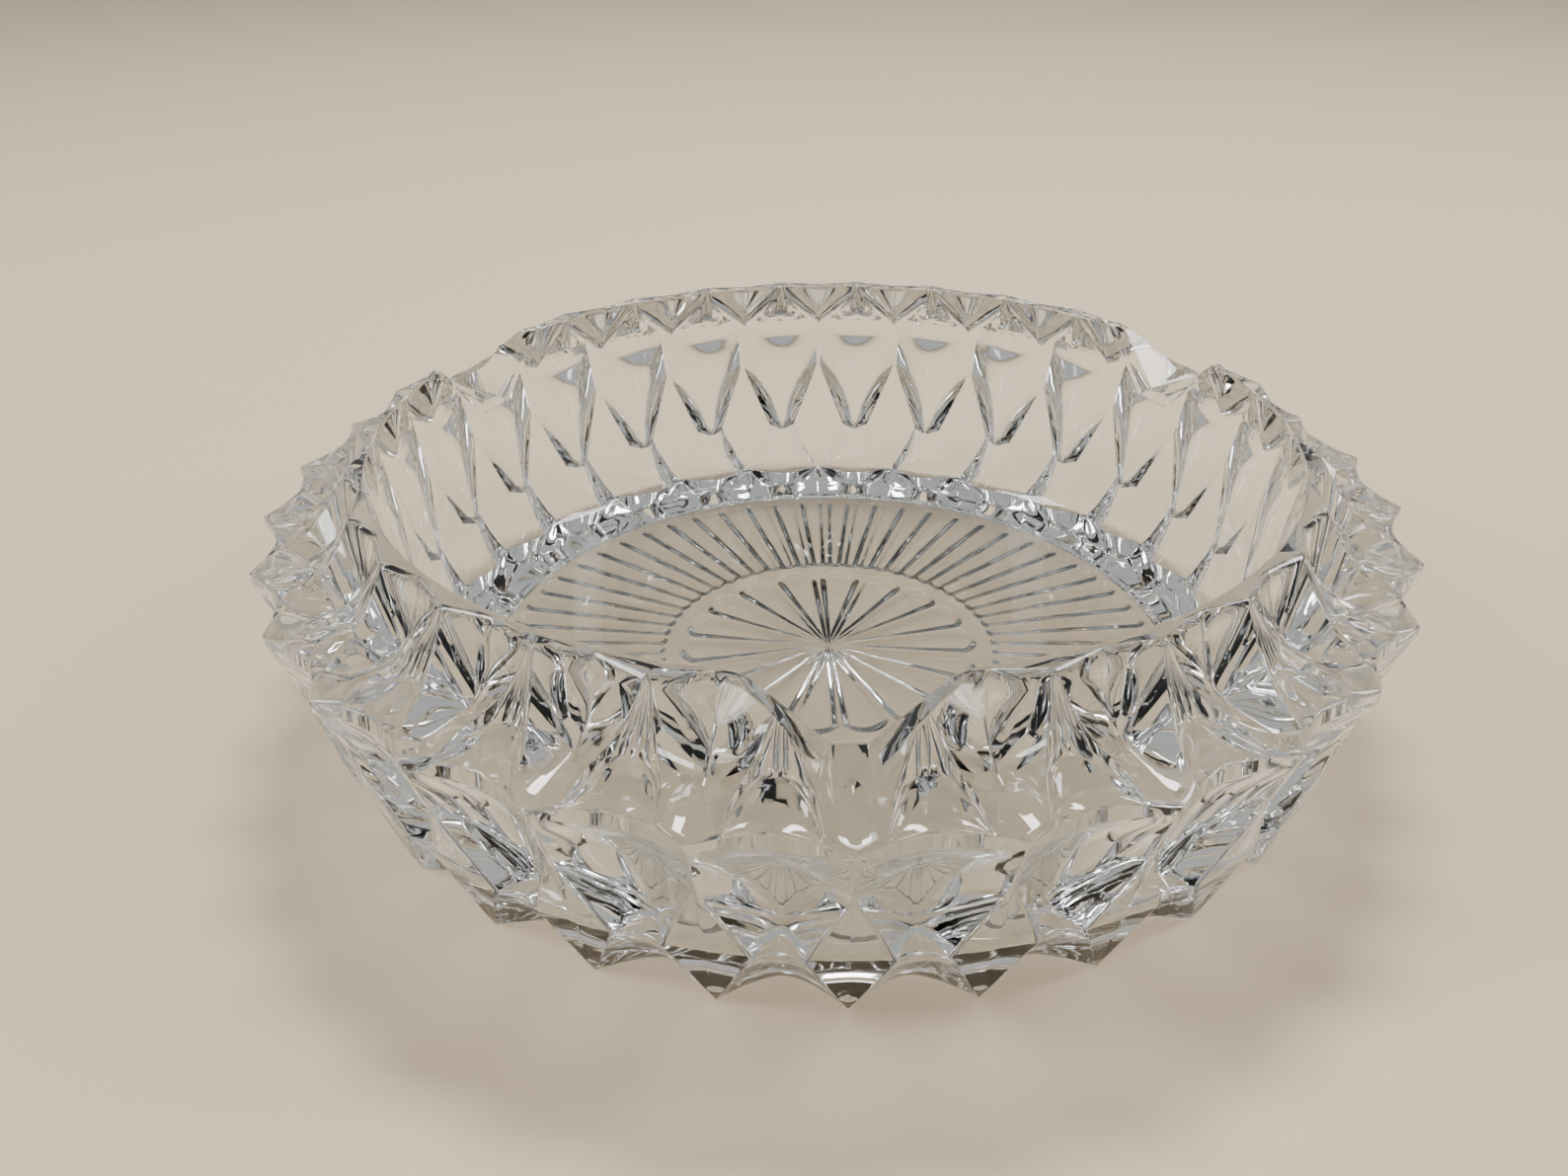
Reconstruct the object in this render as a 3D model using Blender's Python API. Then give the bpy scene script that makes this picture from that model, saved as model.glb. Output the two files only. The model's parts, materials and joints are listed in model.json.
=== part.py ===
"""Pressed clear-glass ashtray: one solid piece of glass with thirty points and three cigarette rests.

The outside repeats thirty times around the upright axis. One half of a repeat is a small net of facets,
which is mirrored and then turned around the axis. The hollow, the rests and the pressed pattern under the
floor are cut from that solid. Metres, +Z up; the origin is on the axis, at the level of the feet.
"""
import math

import bmesh
import bpy
from mathutils import Matrix, Vector

# ---- driving dimensions -----------------------------------------------------------------------------
POINT_COUNT = 30                # repeats around the outside

HEIGHT = 0.0450                 # feet to rim
WIDEST_RADIUS = 0.0900          # tips of the girdle
UPPER_BAND = 0.0110             # from the girdle's upper edge to the rim
GIRDLE_BAND = 0.0014            # height of the narrow upright band at the tips
GIRDLE_BAND_EXTRA = 0.0007      # how much further down the band reaches between two tips
GIRDLE_SCALLOP = 0.0032         # how far the girdle runs in between two tips

RIM_INSET = 0.0152              # how far the rim's cusps stand in from the girdle's tips
RIM_SCALLOP = 0.0018            # how far the rim's outer edge runs in between two cusps
RIM_WIDTH = 0.0029              # flat of the rim at its cusps
WALL_DRAFT = 0.0057             # how much narrower the hollow is at the floor than at the rim

FLOOR_THICKNESS = 0.0047
COVE_RADIUS = 0.0055            # round corner between wall and floor

FOOT_INSET = 0.0103             # how far the feet stand in from the girdle's tips
FOOT_SCALLOP = 0.0052           # how far the base runs in between two feet
FOOT_RIM_HEIGHT = 0.0113        # height of the edge above the base, between two feet
FOOT_RIM_OVERHANG = 0.0020      # how far that edge stands out past the feet
LEDGE_WIDTH = 0.0030            # small flat shelf between that edge and the panel above it
DIAMOND_HEIGHT = 0.0241         # top corner of the diamond facet over each foot
DIAMOND_WIDTH = 0.0114          # across the diamond's side corners
DIAMOND_CORNER_HEIGHT = 0.0117  # height of the side corners
PANEL_HOLLOW = 0.0022           # how deep the thumbprint panels are dished, beyond a flat panel

PYRAMID_SINK = 0.0045           # how far the three-sided pyramid's middle is sunk behind its outline
PYRAMID_RISE = 0.0025           # height of that middle over the girdle
FLUTE_FLOOR_RISE = 0.0013       # height over the girdle of the deepest part of the flute above each tip
FLUTE_FLOOR_INSET = 0.0124      # how far in from the tip that part lies
FLUTE_SINK = 0.0010             # how far the flutes are hollowed behind flat facets
FLUTE_DROP = 0.0004             # how far their sides sag below flat facets
RIDGE_SINK = 0.0020             # how far the ridges beside them bow in behind straight lines

REST_COUNT = 3
REST_FLAT_WIDTH = 0.0042        # flat bottom of a cigarette rest
REST_DEPTH = 0.0097
REST_SIDE_ANGLE = math.radians(45)

STANDING_RING = 0.0140          # flat ring that it stands on, from the recess to the base's outline
RECESS_DEPTH = 0.0008           # shallow round recess under the floor
RAY_COUNT = 18                  # star in the middle of the recess
RAY_INNER_RADIUS = 0.0042
RAY_WIDEST_RADIUS = 0.0224
RAY_TIP_RADIUS = 0.0260
RAY_WIDTH = 0.0030
RAY_TIP_WIDTH = 0.0014
RIB_COUNT = 60                  # fine ribs between the star and the recess edge
RIB_INNER_RADIUS = 0.0290
RIB_END_GAP = 0.0040            # from the ribs' outer ends to the edge of the recess
RIB_WIDTH = 0.0022
GROOVE_DEPTH = 0.0006           # depth of the rays and of the ribs

BORE_SEGMENTS = 120             # flats around the hollow
COVE_STEPS = 4
CUT_MARGIN = 0.004              # how far a cutter stands past the surface that it opens

# ---- where the corners of a half repeat lie, in half pitches from a girdle tip ----------------------
RIDGE_FOOT_TURN = 0.36          # where a ridge leaves the girdle
GIRDLE_TURN = 0.7               # one more corner on the girdle's outline
BASE_TURNS = (0, 0.3, 0.65, 1)  # corners of the base's outline
SCALLOP_POWER = 1.7             # 1 would make straight-sided points, 2 makes round hollows
RIDGE_POWER = 1.25              # over 1, a ridge turns towards its cusp later than a straight line

# ---- shares of the way along an edge ----------------------------------------------------------------
RIDGE_SHARES = (0.25, 0.5, 0.75)
FLUTE_WALL_SHARE = 0.35         # corner on the steep wall above the flute's floor
PANEL_SHARES = (0.36, 0.7)      # the panel's two inner rows, from the girdle down to its shelf
PANEL_SIDE_HOLLOW = 0.45        # share of the panel's hollow that is left halfway to its side
SHELF_SHARE = 0.45              # end of the shelf, from the diamond's corner to the panel's middle
SHELF_RIM_SHARE = 0.75
SHELF_END_WIDTH = 0.7
SHELF_RISE = 0.0002             # keeps the shelf's inner edge above its outer edge

# ---- values that follow from them -------------------------------------------------------------------
HALF_PITCH = math.pi / POINT_COUNT
GIRDLE_TOP = HEIGHT - UPPER_BAND
GIRDLE_BOTTOM = GIRDLE_TOP - GIRDLE_BAND
RIM_CUSP_RADIUS = WIDEST_RADIUS - RIM_INSET
RIM_INNER_RADIUS = RIM_CUSP_RADIUS - RIM_WIDTH
BORE_FLOOR_RADIUS = RIM_INNER_RADIUS - WALL_DRAFT
FLUTE_FLOOR_RADIUS = WIDEST_RADIUS - FLUTE_FLOOR_INSET
FLUTE_FLOOR_HEIGHT = GIRDLE_TOP + FLUTE_FLOOR_RISE
PYRAMID_HEIGHT = GIRDLE_TOP + PYRAMID_RISE
FOOT_RADIUS = WIDEST_RADIUS - FOOT_INSET
FOOT_RIM_RADIUS = FOOT_RADIUS + FOOT_RIM_OVERHANG
RECESS_RADIUS = FOOT_RADIUS - FOOT_SCALLOP - STANDING_RING
RIB_OUTER_RADIUS = RECESS_RADIUS - RIB_END_GAP


def point(turn, radius, height):
    """A place on the half repeat: turn 0 is on a girdle tip, turn 1 is halfway to the next one."""
    angle = turn * HALF_PITCH
    return Vector((radius * math.sin(angle), -radius * math.cos(angle), height))


def scallop(tip_radius, depth, distance):
    """Radius of a scalloped outline, at a distance of 0 (the tip) to 1 (the hollow) from its tip."""
    return tip_radius - depth * (1 - (1 - distance) ** SCALLOP_POWER)


def blend(first, second, share):
    return first + (second - first) * share


# ---- half of one repeat -----------------------------------------------------------------------------
def girdle_edge(turn, upper):
    """A point on the girdle's upper or lower edge."""
    height = GIRDLE_TOP if upper else GIRDLE_BOTTOM - GIRDLE_BAND_EXTRA * turn
    return point(turn, scallop(WIDEST_RADIUS, GIRDLE_SCALLOP, turn), height)


def rim_edge(turn):
    """A point on the rim's outer edge, whose cusps stand halfway between two girdle tips."""
    return point(turn, scallop(RIM_CUSP_RADIUS, RIM_SCALLOP, 1 - turn), HEIGHT)


def half_repeat():
    """Facets of half a repeat, each a list of corners, seen from outside in counter-clockwise order."""
    facets = []

    # upper band: a flute over each girdle tip, and a sunken pyramid between two tips
    upper = [girdle_edge(turn, True) for turn in (0, RIDGE_FOOT_TURN, GIRDLE_TURN, 1)]
    cusp = rim_edge(1)
    ridge = [upper[1]]
    for share in RIDGE_SHARES:
        turn = blend(RIDGE_FOOT_TURN, 1, share ** RIDGE_POWER)
        straight = blend(upper[1], cusp, share)
        radius = math.hypot(straight.x, straight.y) - RIDGE_SINK * math.sin(math.pi * share)
        ridge.append(point(turn, radius, straight.z))
    ridge.append(cusp)

    tip = upper[0]
    valley = rim_edge(0)
    floor = point(0, FLUTE_FLOOR_RADIUS, FLUTE_FLOOR_HEIGHT)
    wall = blend(floor, valley, FLUTE_WALL_SHARE) + Vector((0, FLUTE_SINK, 0))
    flute = [tip, blend(tip, floor, 0.5), floor, wall, valley]
    middle = []
    for side, line in zip(ridge, flute):
        middle.append(blend(side, line, 0.5) + Vector((0, FLUTE_SINK, -FLUTE_DROP)))
    middle[0] = girdle_edge(RIDGE_FOOT_TURN / 2, True)
    middle[-1] = rim_edge(0.5)
    for i in range(4):
        facets.append([flute[i], middle[i], middle[i + 1], flute[i + 1]])
        facets.append([middle[i], ridge[i], ridge[i + 1], middle[i + 1]])

    pyramid_line = blend(upper[3], cusp, (PYRAMID_HEIGHT - GIRDLE_TOP) / (HEIGHT - GIRDLE_TOP))
    pyramid_radius = math.hypot(pyramid_line.x, pyramid_line.y) - PYRAMID_SINK
    centre = point(1, pyramid_radius, PYRAMID_HEIGHT)
    for i in range(1, 3):
        facets.append([upper[i], upper[i + 1], centre])
    for i in range(4):
        facets.append([ridge[i], centre, ridge[i + 1]])

    # the girdle's upright band
    lower = [girdle_edge(turn, False) for turn in (0, RIDGE_FOOT_TURN / 2, RIDGE_FOOT_TURN, GIRDLE_TURN, 1)]
    band_top = [upper[0], middle[0], upper[1], upper[2], upper[3]]
    for i in range(4):
        facets.append([lower[i], lower[i + 1], band_top[i + 1], band_top[i]])

    # lower band: a ridge down to the diamond, and a dished panel beside it
    foot = point(0, FOOT_RADIUS, 0)
    tip_line = blend(foot, lower[0], DIAMOND_HEIGHT / GIRDLE_BOTTOM)
    diamond_top = point(0, math.hypot(tip_line.x, tip_line.y), DIAMOND_HEIGHT)
    corner = blend(foot, diamond_top, DIAMOND_CORNER_HEIGHT / DIAMOND_HEIGHT)
    corner = Vector((DIAMOND_WIDTH / 2, corner.y, corner.z))
    corner_turn = math.atan2(corner.x, -corner.y) / HALF_PITCH

    shelf_turn = blend(corner_turn, 1, SHELF_SHARE)
    shelf_height = FOOT_RIM_HEIGHT + SHELF_RISE
    beside_radius = blend(math.hypot(corner.x, corner.y), FOOT_RIM_RADIUS, SHELF_RIM_SHARE)
    rim_middle = point(1, FOOT_RIM_RADIUS, FOOT_RIM_HEIGHT)
    rim_beside = point(shelf_turn, beside_radius, FOOT_RIM_HEIGHT)
    shelf_middle = point(1, FOOT_RIM_RADIUS - LEDGE_WIDTH, shelf_height)
    shelf_beside = point(shelf_turn, beside_radius - LEDGE_WIDTH * SHELF_END_WIDTH, shelf_height)

    left = [lower[0], diamond_top, blend(diamond_top, corner, 0.5), corner]
    right = [lower[4], None, None, shelf_middle]
    near = [lower[2], None, None, shelf_beside]
    for i, share in enumerate(PANEL_SHARES, start=1):
        line = blend(lower[4], shelf_middle, share)
        radius = math.hypot(line.x, line.y) - PANEL_HOLLOW * math.sin(math.pi * share)
        right[i] = point(1, radius, line.z)
        side = blend(left[i], right[i], 0.5)
        radius = math.hypot(side.x, side.y) - PANEL_HOLLOW * PANEL_SIDE_HOLLOW
        near[i] = point(math.atan2(side.x, -side.y) / HALF_PITCH, radius, side.z)
    facets.append([left[1], near[1], lower[2], lower[1], lower[0]])
    facets.append([near[1], right[1], lower[4], lower[3], lower[2]])
    for i in range(1, 3):
        facets.append([left[i + 1], near[i + 1], near[i], left[i]])
        facets.append([near[i + 1], right[i + 1], right[i], near[i]])
    facets.append([corner, rim_beside, shelf_beside])
    facets.append([rim_beside, rim_middle, shelf_middle, shelf_beside])

    # the diamond over the foot, and the hollow side of the base beside it
    facets.append([foot, corner, left[2], diamond_top])
    base = [point(turn, scallop(FOOT_RADIUS, FOOT_SCALLOP, turn), 0) for turn in BASE_TURNS]
    facets.append([base[0], base[1], corner])
    facets.append([base[1], base[2], rim_beside, corner])
    facets.append([base[2], base[3], rim_middle, rim_beside])

    # flat top and flat underside, out from the axis
    axis_top = Vector((0, 0, HEIGHT))
    axis_base = Vector((0, 0, 0))
    facets.append([axis_top, valley, middle[-1], cusp])
    facets.append([axis_base] + base[::-1])
    return facets


def outside_solid():
    """The whole outside as one closed solid, full inside."""
    bm = bmesh.new()
    for corners in half_repeat():
        verts = [bm.verts.new(corner) for corner in corners]
        bm.faces.new(verts)
    mirrored = bmesh.ops.duplicate(bm, geom=bm.verts[:] + bm.edges[:] + bm.faces[:])["geom"]
    mirrored_verts = [item for item in mirrored if isinstance(item, bmesh.types.BMVert)]
    mirrored_faces = [item for item in mirrored if isinstance(item, bmesh.types.BMFace)]
    bmesh.ops.transform(bm, matrix=Matrix.Scale(-1, 4, (1, 0, 0)), verts=mirrored_verts)
    bmesh.ops.reverse_faces(bm, faces=mirrored_faces)
    bmesh.ops.remove_doubles(bm, verts=bm.verts[:], dist=1e-6)
    bmesh.ops.spin(bm, geom=bm.verts[:] + bm.edges[:] + bm.faces[:], cent=(0, 0, 0), axis=(0, 0, 1),
                   angle=2 * math.pi * (POINT_COUNT - 1) / POINT_COUNT, steps=POINT_COUNT - 1,
                   use_duplicate=True)
    bmesh.ops.remove_doubles(bm, verts=bm.verts[:], dist=1e-6)
    top_and_base = [face for face in bm.faces if abs(face.normal.z) > 0.9999
                    and (abs(face.calc_center_median().z) < 1e-7
                         or abs(face.calc_center_median().z - HEIGHT) < 1e-7)]
    bmesh.ops.dissolve_faces(bm, faces=top_and_base)
    return finish_mesh(bm, "outside")


def finish_mesh(bm, name):
    bmesh.ops.recalc_face_normals(bm, faces=bm.faces[:])
    mesh = bpy.data.meshes.new(name)
    bm.to_mesh(mesh)
    bm.free()
    return mesh


# ---- cutters ----------------------------------------------------------------------------------------
def lathe(name, profile, segments):
    """A solid turned around the upright axis from (radius, height) points that start and end on it."""
    bm = bmesh.new()
    verts = [bm.verts.new((radius, 0, height)) for radius, height in profile]
    edges = [bm.edges.new(pair) for pair in zip(verts, verts[1:])]
    bmesh.ops.spin(bm, geom=verts + edges, cent=(0, 0, 0), axis=(0, 0, 1), angle=2 * math.pi, steps=segments)
    bmesh.ops.remove_doubles(bm, verts=bm.verts[:], dist=1e-6)
    return finish_mesh(bm, name)


def hollow_cutter():
    """The inside of the dish: drafted wall, round cove and flat floor."""
    wall_height = HEIGHT - FLOOR_THICKNESS
    draft = math.atan2(WALL_DRAFT, wall_height)
    top_radius = RIM_INNER_RADIUS + math.tan(draft) * CUT_MARGIN
    # the cove touches the drafted wall and the floor
    cove_centre_z = FLOOR_THICKNESS + COVE_RADIUS
    wall_at_centre = BORE_FLOOR_RADIUS + math.tan(draft) * COVE_RADIUS
    cove_centre_r = wall_at_centre - COVE_RADIUS / math.cos(draft)
    profile = [(0, HEIGHT + CUT_MARGIN), (top_radius, HEIGHT + CUT_MARGIN)]
    for step in range(COVE_STEPS + 1):
        angle = blend(-draft, -math.pi / 2, step / COVE_STEPS)
        profile.append((cove_centre_r + COVE_RADIUS * math.cos(angle),
                        cove_centre_z + COVE_RADIUS * math.sin(angle)))
    profile.append((0, FLOOR_THICKNESS))
    return lathe("hollow", profile, BORE_SEGMENTS)


def recess_cutter():
    """The shallow round recess under the floor."""
    profile = [(0, RECESS_DEPTH), (RECESS_RADIUS, RECESS_DEPTH),
               (RECESS_RADIUS, -CUT_MARGIN), (0, -CUT_MARGIN)]
    return lathe("recess", profile, BORE_SEGMENTS)


def prism(bm, outline, start, end, turn):
    """A straight bar with the given (sideways, height) outline, running outward at the given angle."""
    spin = Matrix.Rotation(turn, 4, "Z")
    near = [bm.verts.new(spin @ Vector((x, -start, z))) for x, z in outline]
    far = [bm.verts.new(spin @ Vector((x, -end, z))) for x, z in outline]
    bm.faces.new(near)
    bm.faces.new(far[::-1])
    count = len(outline)
    for i in range(count):
        j = (i + 1) % count
        bm.faces.new((near[j], near[i], far[i], far[j]))


def rest_cutters():
    """The three cigarette rests: flat-bottomed channels that run out through the wall."""
    bottom = HEIGHT - REST_DEPTH
    top = HEIGHT + CUT_MARGIN
    half_flat = REST_FLAT_WIDTH / 2
    half_top = half_flat + (top - bottom) / math.tan(REST_SIDE_ANGLE)
    outline = [(-half_flat, bottom), (half_flat, bottom), (half_top, top), (-half_top, top)]
    bm = bmesh.new()
    for index in range(REST_COUNT):
        prism(bm, outline, BORE_FLOOR_RADIUS - CUT_MARGIN * 2, WIDEST_RADIUS + CUT_MARGIN,
              2 * math.pi * index / REST_COUNT)
    return finish_mesh(bm, "rests")


def groove_cutters():
    """The pressed pattern under the floor: a star of wedge-shaped rays, and a ring of straight ribs."""
    bm = bmesh.new()
    base = RECESS_DEPTH - CUT_MARGIN
    crest = RECESS_DEPTH + GROOVE_DEPTH
    outline = [(0, RAY_INNER_RADIUS), (RAY_WIDTH / 2, RAY_WIDEST_RADIUS), (RAY_TIP_WIDTH / 2, RAY_TIP_RADIUS),
               (-RAY_TIP_WIDTH / 2, RAY_TIP_RADIUS), (-RAY_WIDTH / 2, RAY_WIDEST_RADIUS)]
    for index in range(RAY_COUNT):
        spin = Matrix.Rotation(2 * math.pi * (index + 0.5) / RAY_COUNT, 4, "Z")
        low = [bm.verts.new(spin @ Vector((x, -y, RECESS_DEPTH))) for x, y in outline]
        bottom = [bm.verts.new(spin @ Vector((x, -y, base))) for x, y in outline]
        peak = bm.verts.new(spin @ Vector((0, -RAY_WIDEST_RADIUS, crest)))
        for i in range(len(outline)):
            j = (i + 1) % len(outline)
            bm.faces.new((low[i], low[j], peak))
            bm.faces.new((bottom[i], bottom[j], low[j], low[i]))
        bm.faces.new(bottom)
    outline = [(-RIB_WIDTH / 2, RECESS_DEPTH), (-RIB_WIDTH / 2, base), (RIB_WIDTH / 2, base),
               (RIB_WIDTH / 2, RECESS_DEPTH), (0, crest)]
    for index in range(RIB_COUNT):
        prism(bm, outline, RIB_INNER_RADIUS, RIB_OUTER_RADIUS, 2 * math.pi * (index + 0.5) / RIB_COUNT)
    return finish_mesh(bm, "grooves")


# ---- scene ------------------------------------------------------------------------------------------
def clear_glass():
    material = bpy.data.materials.new("clear_glass")
    material.use_nodes = True
    shader = material.node_tree.nodes["Principled BSDF"]
    shader.inputs["Base Color"].default_value = (0.90, 0.93, 0.92, 1)
    shader.inputs["Metallic"].default_value = 0
    shader.inputs["Roughness"].default_value = 0.02
    shader.inputs["Transmission Weight"].default_value = 1
    shader.inputs["IOR"].default_value = 1.52
    return material


def add_object(name, mesh):
    obj = bpy.data.objects.new(name, mesh)
    bpy.context.scene.collection.objects.link(obj)
    return obj


def cut(body, name, mesh):
    """Keep the cutter as a hidden guide and take it away from the body."""
    cutter = add_object(name, mesh)
    cutter.hide_render = True
    cutter.display_type = "WIRE"
    modifier = body.modifiers.new(name, "BOOLEAN")
    modifier.operation = "DIFFERENCE"
    modifier.solver = "EXACT"
    modifier.object = cutter


def main():
    for obj in list(bpy.data.objects):
        bpy.data.objects.remove(obj, do_unlink=True)
    body = add_object("ashtray_body", outside_solid())
    body.data.materials.append(clear_glass())
    cut(body, "hollow_guide", hollow_cutter())
    cut(body, "rest_guide", rest_cutters())
    cut(body, "recess_guide", recess_cutter())
    cut(body, "groove_guide", groove_cutters())


main()
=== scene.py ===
# %% [markdown]
# # A pressed-glass ashtray
# This lesson builds a round, heavy ashtray of clear pressed glass. It is one piece of glass, so there is
# one mesh to make and one material to get right. A mould gave it thirty points around the outside, a
# smooth bowl, three cigarette rests in the rim, and a star with fine ribs under the floor.
#
# The frame holds the plain solid that was designed first. The glass made here takes its place.

# %% Load the frame
import json
import math

import bmesh
import bpy
from mathutils import Matrix, Vector

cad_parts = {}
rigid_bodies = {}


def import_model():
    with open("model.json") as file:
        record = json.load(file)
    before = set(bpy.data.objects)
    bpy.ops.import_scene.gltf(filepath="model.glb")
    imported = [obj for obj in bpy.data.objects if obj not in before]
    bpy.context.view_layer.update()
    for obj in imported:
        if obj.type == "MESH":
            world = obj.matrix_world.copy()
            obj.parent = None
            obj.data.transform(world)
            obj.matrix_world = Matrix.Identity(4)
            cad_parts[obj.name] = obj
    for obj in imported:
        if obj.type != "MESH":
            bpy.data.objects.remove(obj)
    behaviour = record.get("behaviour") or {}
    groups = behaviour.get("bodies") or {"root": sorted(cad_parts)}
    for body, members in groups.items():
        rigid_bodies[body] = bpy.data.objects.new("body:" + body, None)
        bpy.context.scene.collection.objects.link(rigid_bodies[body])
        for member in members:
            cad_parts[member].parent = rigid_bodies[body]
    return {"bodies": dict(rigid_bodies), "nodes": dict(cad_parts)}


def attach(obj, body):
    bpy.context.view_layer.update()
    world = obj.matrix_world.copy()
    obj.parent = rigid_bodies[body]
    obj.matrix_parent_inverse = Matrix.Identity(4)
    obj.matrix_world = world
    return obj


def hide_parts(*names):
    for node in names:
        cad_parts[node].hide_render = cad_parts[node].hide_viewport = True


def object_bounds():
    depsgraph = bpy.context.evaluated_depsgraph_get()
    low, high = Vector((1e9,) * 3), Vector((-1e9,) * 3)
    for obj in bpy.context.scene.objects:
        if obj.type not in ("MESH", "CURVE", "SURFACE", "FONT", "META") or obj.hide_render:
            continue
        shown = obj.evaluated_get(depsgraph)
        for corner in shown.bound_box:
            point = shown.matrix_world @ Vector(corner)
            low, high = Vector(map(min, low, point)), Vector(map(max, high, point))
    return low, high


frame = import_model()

plain_low, plain_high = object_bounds()
body = next(iter(frame["bodies"]))
node = next(iter(frame["nodes"]))
print("plain solid:", node, "on body", body)

# %% [markdown]
# ## Sizes
# All sizes that follow are in millimetres, because that is how a mould maker would talk about them, and
# `MM` turns them into metres. The height and the radius at the tips come from the frame. The other main
# sizes are distances in from the tips or down from the rim, the same as in the plain solid. The points
# of the mould lines further down are plain radii and heights.

# %% Main sizes
MM = 0.001
WELD = 2e-6                                  # metres; points closer than this become one
HEIGHT = (plain_high[2] - plain_low[2]) / MM
TIP_RADIUS = -plain_low[1] / MM              # a tip points to -Y
POINT_COUNT = 30
HALF_STEP = 180 / POINT_COUNT                # degrees from a tip to the hollow beside it
GIRDLE_TOP = HEIGHT - 11.0                   # the girdle is the widest band, around the tips
GIRDLE_BOTTOM = GIRDLE_TOP - 1.4
RIM_CUSP = TIP_RADIUS - 15.2
RIM_INNER = RIM_CUSP - 2.9
FOOT_RADIUS = TIP_RADIUS - 10.3
FOOT_SCALLOP = 5.2                           # depth of the hollows between the feet
STANDING_RING = 14.0                         # width of the flat ring that it stands on
RECESS_RADIUS = FOOT_RADIUS - FOOT_SCALLOP - STANDING_RING
print("height %.1f mm, across the tips %.1f mm" % (HEIGHT, 2 * TIP_RADIUS))

# %% [markdown]
# ## Lines on the mould
# A mould for pressed glass is cut with round wheels. Each cut leaves a hollow, and two hollows meet in a
# ridge. So the ridges are drawn first, as smooth lines through a few points, and the hollows are then
# stretched between them. A point is written as degrees from the tip, radius and height.
#
# Only half of one repeat is drawn, from a tip (0 degrees) to the hollow beside it (6 degrees). Mirroring
# and turning give the rest.

# %% A smooth line through a few points
CURVE_STEPS = 24                             # short steps between two given points


def smooth_line(points, count, mirror_end=False):
    """`count` + 1 evenly spaced points on a Catmull-Rom curve through (degrees, radius, height) points."""
    knots = [Vector(point) for point in points]
    before = 2 * knots[0] - knots[1]
    after = 2 * knots[-1] - knots[-2]
    if mirror_end:
        after = Vector((2 * knots[-1].x - knots[-2].x, knots[-2].y, knots[-2].z))
    knots = [before] + knots + [after]
    dense = []
    for a, b, c, d in zip(knots, knots[1:], knots[2:], knots[3:]):
        for step in range(CURVE_STEPS):
            t = step / CURVE_STEPS
            dense.append(0.5 * (2 * b + (c - a) * t + (2 * a - 5 * b + 4 * c - d) * t ** 2
                                + (3 * b - a - 3 * c + d) * t ** 3))
    dense.append(knots[-2])
    travelled = [0.0]
    for a, b in zip(dense, dense[1:]):
        travelled.append(travelled[-1] + (place(b) - place(a)).length)
    line = []
    for index in range(count + 1):
        goal = travelled[-1] * index / count
        k = next(i for i in range(1, len(dense)) if travelled[i] >= goal - 1e-12)
        share = (goal - travelled[k - 1]) / max(travelled[k] - travelled[k - 1], 1e-12)
        line.append(dense[k - 1].lerp(dense[k], share))
    return line


def place(point):
    """Metres, from degrees, radius and height in millimetres."""
    angle = math.radians(point[0])
    return Vector((point[1] * math.sin(angle), -point[1] * math.cos(angle), point[2])) * MM


# %% [markdown]
# A hollow between two points is round in the middle and steeper towards the points. A power law gives
# that cross section, for the outlines and for most surfaces between them. The flutes and the faces
# beside them are flatter, so each has a lower power of its own.

# %% The hollows' cross section
HOLLOW_POWER = 1.7
GIRDLE_SCALLOP = 3.2                         # depth of the hollows between the tips


def scallop(degrees, tip, depth):
    """Radius of a scalloped outline whose tips are at 0 degrees."""
    return tip - depth * (1 - (1 - degrees / HALF_STEP) ** HOLLOW_POWER)


def girdle(degrees, height, drop=0.0):
    """A point on the girdle's edge; `drop` is how far the edge has sunk half a step from the tip."""
    return (degrees, scallop(degrees, TIP_RADIUS, GIRDLE_SCALLOP), height - drop * degrees / HALF_STEP)


# %% The ridges and creases of the upper band
RIDGE_FOOT = 2.2                             # degrees from the tip where a ridge leaves the girdle
RIDGE_ROWS = 16
CREASE_ROWS = 7
ridge_foot = girdle(RIDGE_FOOT, GIRDLE_TOP)
cusp = (HALF_STEP, RIM_CUSP, HEIGHT)
valley = (0, RIM_CUSP - 1.8, HEIGHT)
hollow_middle = (HALF_STEP, 80.1, GIRDLE_TOP + 2.5)

ridge = smooth_line([ridge_foot, (2.85, 83.7, 36.5), (3.86, 80.9, 38.0), (4.6, 78.9, 39.5),
                     (5.4, 76.8, 41.9), cusp], RIDGE_ROWS)
flute = smooth_line([(0, TIP_RADIUS, GIRDLE_TOP), (0, 83.7, 34.5), (0, 78.2, 35.3), (0, 75.2, 38.4), valley],
                    RIDGE_ROWS)
crease = smooth_line([ridge_foot, (3.2, 84.3, 35.2), (4.5, 81.3, 36.1), hollow_middle], CREASE_ROWS,
                     mirror_end=True)
face_line = smooth_line([hollow_middle, (HALF_STEP, 77.4, 40.4), cusp], RIDGE_ROWS - CREASE_ROWS)
print("ridge from %.1f to %.1f mm high" % (ridge[0].z, ridge[-1].z))

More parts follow.
